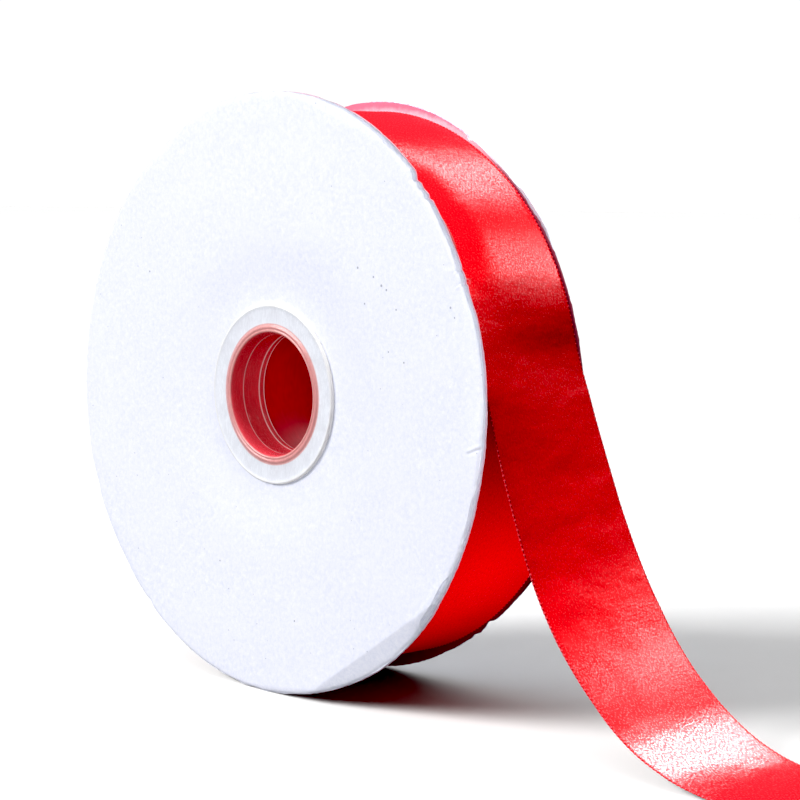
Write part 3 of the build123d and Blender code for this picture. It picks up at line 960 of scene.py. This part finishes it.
def ribbon_surface():
    """Middle surface of the ribbon, stations x columns, with its outward normals."""
    near, far = edge_curve(NEAR, NEAR_LEAVE), edge_curve(FAR, FAR_LEAVE)
    count = min(len(near), len(far))
    near, far = resample(near, count), resample(far, count)
    station = np.arange(count)
    dist = station * STATION
    across = ((COLS + 1) / 2)[None, :, None]
    flat = near[:, None, :] * (1 - across) + far[:, None, :] * across
    x, z = flat[..., 0], flat[..., 1]
    y = np.repeat((COLS * RIB_HALF)[None], count, 0)
    out_x, out_z = normals(x, z)
    sign = np.sign(out_x[10, 0] * (x[10, 0] - LAP_X) + out_z[10, 0] * (z[10, 0] - LAP_Z))
    out_x, out_z = out_x * sign, out_z * sign

    # where the front edge passes x = 78 in the later part of the ribbon
    tail_start = int(np.argmin(np.abs(near[:, 0] - 78.0) + 100 * (station < count * 0.6)))
    free = smooth01((dist - dist[tail_start] + 10) / 30.0)[:, None]
    lying = (smooth01((near[:, 0] - 140.0) / 18.0) * (station > tail_start))[:, None]
    # the satin is not drum tight: a very slight lengthwise ripple and cupping
    ripple = np.zeros((count, len(COLS)))
    for height, wavelength, phase, skew in RIPPLES:
        ripple += height * np.sin(dist[:, None] / wavelength * TAU + phase + skew * COLS[None])
    ripple *= 0.35 + 0.65 * free
    cup = CUP_HEIGHT * free * (1 - 0.7 * lying) * (1 - COLS[None] ** 2)
    edge = EDGE_LIFT * np.sin(dist / 9.0)[:, None] * (np.abs(COLS)[None] ** 8) * free
    # a dent in the front half, where the ribbon comes off the lap
    angle = np.degrees(np.unwrap(np.arctan2(z[:, 0] - LAP_Z, x[:, 0] - LAP_X)))
    leaving = math.degrees(math.atan2(z[tail_start, 0] - LAP_Z, x[tail_start, 0] - LAP_X))
    angle = angle - angle[tail_start] + leaving
    dent_along = smooth01((64.0 - angle) / 18.0) * smooth01((angle - 14.0) / 26.0)
    dent_along = dent_along * (station > count * 0.3)
    dent_across = smooth01((-0.05 - COLS) / 0.95) ** 1.5
    lift = ripple * (1 - lying) + cup + edge - DENT_DEPTH * dent_along[:, None] * dent_across
    off_floor = np.maximum(0.0, (RIBBON_LOW + RIB_T / 2) - (z + out_z * lift))
    return SimpleNamespace(
        dist=dist, x=x + out_x * lift, y=y, z=z + out_z * lift + off_floor,
        out_x=out_x, out_z=out_z, near_x=near[:, 0], tail_start=tail_start, last=count - 1)


ribbon = ribbon_surface()


def selvedge(first, last, column, edge, outward, offset):
    """Beaded thread along one edge as a closed tube. edge: -1 front, 1 back."""
    spacing, segments = 0.22, 7
    dist = np.arange(ribbon.dist[first], ribbon.dist[last] + 1e-6, spacing)
    dist[-1] = ribbon.dist[last]
    x = np.interp(dist, ribbon.dist, ribbon.x[:, column])
    z = np.interp(dist, ribbon.dist, ribbon.z[:, column])
    up_x, up_z = normals(x, z)
    bead = 0.5 + 0.5 * np.sin(dist * TAU / SELVEDGE_PITCH)
    rad = (0.19 + 0.10 * bead ** 1.5)[:, None]
    around = np.arange(segments) * TAU / segments
    centre_y = edge * (RIB_HALF - 0.22) + edge * 0.04 * bead
    y = np.cos(around)[None] * rad * edge + centre_y[:, None]
    rise = np.sin(around)[None] * rad * 1.05
    tube_x = x[:, None] + (up_x * outward)[:, None] * rise
    tube_z = z[:, None] + (up_z * outward)[:, None] * rise
    tube = np.stack([tube_x, y, np.maximum(tube_z, THREAD_LOW)], -1)
    verts = np.vstack([tube.reshape(-1, 3), tube[[0, -1]].mean(1)])
    count = len(dist)
    flip = edge * outward > 0
    faces = [grid_faces(count, segments, wrap_cols=True, flip=flip, offset=offset)]
    corner = np.arange(segments)
    for k, (row, reverse) in enumerate(((0, flip), (count - 1, not flip))):
        base = offset + row * segments
        centre = np.full(segments, offset + count * segments + k)
        fan = np.stack([corner + base, (corner + 1) % segments + base, centre], -1)
        faces.append(fan[:, ::-1] if reverse else fan)
    uv = np.stack([np.repeat(dist, segments), np.tile(around * 0.2, count)], -1)
    return verts, np.concatenate([uv, [[dist[0], 0], [dist[-1], 0]]]), faces


def ribbon_piece(name, first, last):
    """Stations first to last as one closed strip: satin face, duller back, stitched edges."""
    part = slice(first, last + 1)
    rows, cols = last - first + 1, len(COLS)
    half = RIB_T / 2 * (1.0 - 0.25 * np.abs(COLS) ** 40)
    x, y, z = ribbon.x[part], ribbon.y[part], ribbon.z[part]
    # true normals of the rippled surface
    up_x, up_z = (normal[part] for normal in normals(ribbon.x, ribbon.z))
    outward = np.sign((up_x * ribbon.out_x[part] + up_z * ribbon.out_z[part]).mean())
    up_x, up_z = up_x * outward, up_z * outward
    top = np.stack([x + up_x * half, y, z + up_z * half], -1)
    under = np.stack([x - up_x * half, y, z - up_z * half], -1)
    # each row of vertices goes round the closed section
    around = 2 * cols
    verts = np.concatenate([top, under[:, ::-1]], 1).reshape(-1, 3)
    uv = np.stack([np.repeat(ribbon.dist[part][:, None], around, 1),
                   np.concatenate([y, y[:, ::-1]], 1)], -1).reshape(-1, 2)
    body = grid_faces(rows, around, wrap_cols=True, flip=True)
    column = np.tile(np.arange(around), rows - 1)
    is_back = (column >= cols) & (column < around - 1)
    k = np.arange(cols - 1)
    start_cap = np.stack([k, k + 1, around - 2 - k, around - 1 - k], -1)
    end_cap = (start_cap + (rows - 1) * around)[:, ::-1]
    faces = [body, start_cap, end_cap]
    # material slots: 0 satin face, 1 back, 2 thread
    slots = [np.where(is_back, 1, 0), np.zeros(len(start_cap)), np.zeros(len(end_cap))]
    for edge_column, edge in ((0, -1), (cols - 1, 1)):
        thread = selvedge(first, last, edge_column, edge, outward, len(verts))
        verts, uv = np.vstack([verts, thread[0]]), np.vstack([uv, thread[1]])
        faces += thread[2]
        slots += [np.full(len(f), 2) for f in thread[2]]
    obj = add_mesh(name, verts, faces, [SATIN, SATIN_BACK, STITCH], uv=uv)
    slots = np.concatenate(slots).astype(np.int32)
    # guards against faces dropped when the mesh is validated
    if len(slots) == len(obj.data.polygons):
        obj.data.polygons.foreach_set("material_index", slots)
    obj.data.update()
    return obj


def station_at_x(x):
    """Station of the free end whose front edge is nearest to x."""
    stations = np.arange(ribbon.tail_start, ribbon.last + 1)
    return int(stations[np.argmin(np.abs(ribbon.near_x[stations] - x))])


upper_end, middle_end = station_at_x(96.0), station_at_x(120.5)
ribbon_pieces = []
# name, first and last station, nodes replaced, two group names, start and end x (m)
for name, first, last, nodes, group_a, group_b, blend_start, blend_end in (
        ("ribbon_last_lap_and_upper_tail", 0, upper_end,
         ("ribbon_outer_lap", "ribbon_tail_upper"),
         "free_ribbon", "tail_middle", 0.0805, 0.0930),
        ("ribbon_middle_tail", upper_end, middle_end, ("ribbon_tail_middle",),
         "tail_middle", "tail_lower", 0.1000, 0.1145),
        ("ribbon_lower_tail_and_end", middle_end, ribbon.last,
         ("ribbon_tail_lower", "ribbon_tail_end"),
         "tail_lower", "tail_end", 0.1280, 0.1460)):
    piece = ribbon_piece(name, first, last)
    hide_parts(*nodes)
    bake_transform(piece)
    ribbon_pieces.append(piece)


# --------------------------------------------------------------------- stage
def floor_material():
    """One pale matt sheet. Its shade is cast by the lights."""
    mat = new_material("studio_floor")
    grain = mat.noise(mat.object_metres(), scale=40.0, detail=3.0)
    path = mat.node("ShaderNodeLightPath").outputs
    pale = mat.ramp(grain, (0.3, (0.655, 0.655, 0.65)), (0.7, (0.675, 0.675, 0.67)))
    # less light comes back up from the sheet than it shows to the camera
    dim = mat.mix(path["Is Glossy Ray"], 0.105, 0.08)
    colour = mat.mix(path["Is Camera Ray"], dim, pale)
    return mat.finish(mat.principled(colour, 0.45, Specular_IOR_Level=0.06))


def studio_floor():
    """Round sheet with rings that widen outwards (radii in metres)."""
    radii, segments = np.geomspace(0.05, 6.0, 40), 96
    level = FLOOR_Z * MM
    verts = [(0, 0, level)]
    for rad in radii:
        for k in range(segments):
            turn = TAU * k / segments
            verts.append((rad * math.cos(turn), rad * math.sin(turn), level))
    faces = [(0, 1 + k, 1 + (k + 1) % segments) for k in range(segments)]
    for j in range(len(radii) - 1):
        inner, outer = 1 + j * segments, 1 + (j + 1) * segments
        for k in range(segments):
            after = (k + 1) % segments
            faces.append((inner + k, outer + k, outer + after, inner + after))
    mesh = bpy.data.meshes.new("studio_floor")
    mesh.from_pydata(verts, [], faces)
    mesh.materials.append(floor_material())
    obj = bpy.data.objects.new("studio_floor", mesh)
    SCENE.collection.objects.link(obj)
    return obj


floor = studio_floor()


def studio_world(diffuse, glossy, seen):
    """White behind the object for the camera; a dim room for everything else."""
    world = bpy.data.worlds.new("studio")
    SCENE.world = world
    sky = Shader(world)
    path = sky.node("ShaderNodeLightPath").outputs
    height = sky.xyz(sky.node("ShaderNodeTexCoord").outputs["Generated"])[2]
    room_colour = sky.ramp(sky.math("MULTIPLY_ADD", height, 0.5, 0.5),
                           (0.42, (0.15, 0.15, 0.17)), (0.95, (0.80, 0.81, 0.84)))
    room, gloss, white = (
        sky.node("ShaderNodeBackground", {"Color": colour, "Strength": strength}).outputs[0]
        for colour, strength in ((room_colour, diffuse), (room_colour, glossy), (1, seen)))
    unseen = sky.mix_shader(path["Is Glossy Ray"], room, gloss)
    sky.finish(sky.mix_shader(path["Is Camera Ray"], unseen, white), "ShaderNodeOutputWorld")


studio_world(diffuse=0.26, glossy=0.16, seen=1.05)


# -------------------------------------------------------------------- lights
def receivers(name, objects):
    """Collection of the only objects a light falls on."""
    group = bpy.data.collections.new(name)
    for obj in objects:
        group.objects.link(obj)
    return group


def add_light(name, kind, direction, location=(0, 0, 0), lit=None, glossy=False, diffuse=True,
              **settings):
    light = bpy.data.lights.new(name, kind)
    for key, value in settings.items():
        setattr(light, key, value)
    obj = bpy.data.objects.new(name, light)
    obj.location = location
    obj.rotation_mode = "QUATERNION"
    obj.rotation_quaternion = direction.to_track_quat("-Z", "Y")
    SCENE.collection.objects.link(obj)
    obj.visible_glossy = glossy
    obj.visible_diffuse = diffuse
    obj.visible_camera = False
    if lit is not None:
        obj.light_linking.receiver_collection = lit


def area(name, location, size, energy, target=(0, 0, 0), **more):
    """Area light aimed at target, square unless size_y is given."""
    shape = "RECTANGLE" if "size_y" in more else "SQUARE"
    add_light(name, "AREA", Vector(target) - Vector(location), location, shape=shape,
              size=size, energy=energy, **more)


meshes = [obj for obj in SCENE.objects if obj.type == "MESH"]
front_flange = [obj for obj in meshes if obj.name.startswith("front_flange")]
paper_lit = receivers("front_right_fill_receivers", [
    obj for obj in meshes if any(word in obj.name for word in ("flange", "plug", "core"))])
ribbon_lit = receivers("overhead_left_receivers", ribbon_pieces)
back_lit = receivers("back_fill_receivers", [
    obj for obj in meshes if obj.name.startswith(("back_flange", "back_hub"))])
front_lit = receivers("right_rim_fill_receivers", front_flange)
rest_lit = receivers("overhead_receivers", [
    obj for obj in meshes if obj not in ribbon_pieces + front_flange + [floor]])
floor_lit = receivers("floor_light_receivers", [floor])
upper_lit = receivers("under_tail_bounce_receivers", ribbon_pieces[:1])

GLOSS_TARGET = (0.03, 0.0, -0.01)
area("front_left_softbox", (-0.80, -1.20, 0.72), size=0.9, energy=25.4,
     color=(0.995, 0.992, 1.0), glossy=True)
area("overhead_softbox", (0.05, 0.0, 1.15), size=0.5, energy=23.0, lit=rest_lit)
area("overhead_left_softbox", (-0.20, 0.0, 1.12), size=0.3, energy=44.0, lit=ribbon_lit)
area("front_right_fill", (0.95, -0.95, 0.30), size=0.6, energy=5.6, lit=paper_lit)
area("back_fill", (-0.45, 1.30, 0.55), size=0.8, energy=22.0, color=(0.99, 0.992, 1.0),
     lit=back_lit)
area("right_rim_fill", (1.30, -0.22, 0.42), size=0.6, energy=9.0, lit=front_lit)
# even soft light for the floor alone, so that the sheet is as bright far off as close by
add_light("floor_front_left", "SUN", Vector((0.80, 1.20, -0.72)), angle=0.55, energy=6.8,
          lit=floor_lit)
add_light("floor_overhead", "SUN", Vector((0.0, 0.0, -1.0)), angle=1.6, energy=2.1,
          lit=floor_lit)
area("under_tail_bounce", (0.098, 0.0, -0.079), size=0.03, size_y=0.035, energy=0.040,
     target=(0.045, 0.0, -0.050), color=(1.0, 0.75, 0.75), lit=upper_lit)
# for reflections only
area("top_back_softbox", (-0.14, 1.00, 0.88), size=0.38, size_y=0.60, energy=11.0,
     target=GLOSS_TARGET, color=(1.0, 0.99, 0.98), glossy=True, diffuse=False)
area("back_right_strip", (0.52, 1.00, 0.76), size=0.17, size_y=0.30, energy=1.35,
     target=GLOSS_TARGET, color=(1.0, 0.99, 0.98), glossy=True, diffuse=False)


# -------------------------------------------------------------------- camera
def add_camera(location, forward, up):
    """location in mm. The camera looks along forward from the front right."""
    data = bpy.data.cameras.new("camera")
    data.sensor_width = 36.0
    data.lens = 100.96785
    data.clip_start = 0.01
    data.clip_end = 50.0
    camera = bpy.data.objects.new("camera", data)
    SCENE.collection.objects.link(camera)
    forward = Vector(forward).normalized()
    right = forward.cross(Vector(up).normalized()).normalized()
    up = right.cross(forward).normalized()
    rotation = Matrix((right, up, -forward)).transposed().to_4x4()
    camera.matrix_world = Matrix.Translation(Vector(location) * MM) @ rotation
    SCENE.camera = camera


add_camera(location=(456.44, -415.262, 63.295),
           forward=(-0.71401846, 0.69198742, -0.10644743),
           up=(-0.08353005, 0.06675718, 0.99426667))

view = SCENE.view_settings
view.view_transform = "Standard"
view.look = "None"
view.exposure = 0.0
view.gamma = 1.0
view.use_curve_mapping = True
view.curve_mapping.black_level = (0.018, 0.018, 0.018)
view.curve_mapping.update()
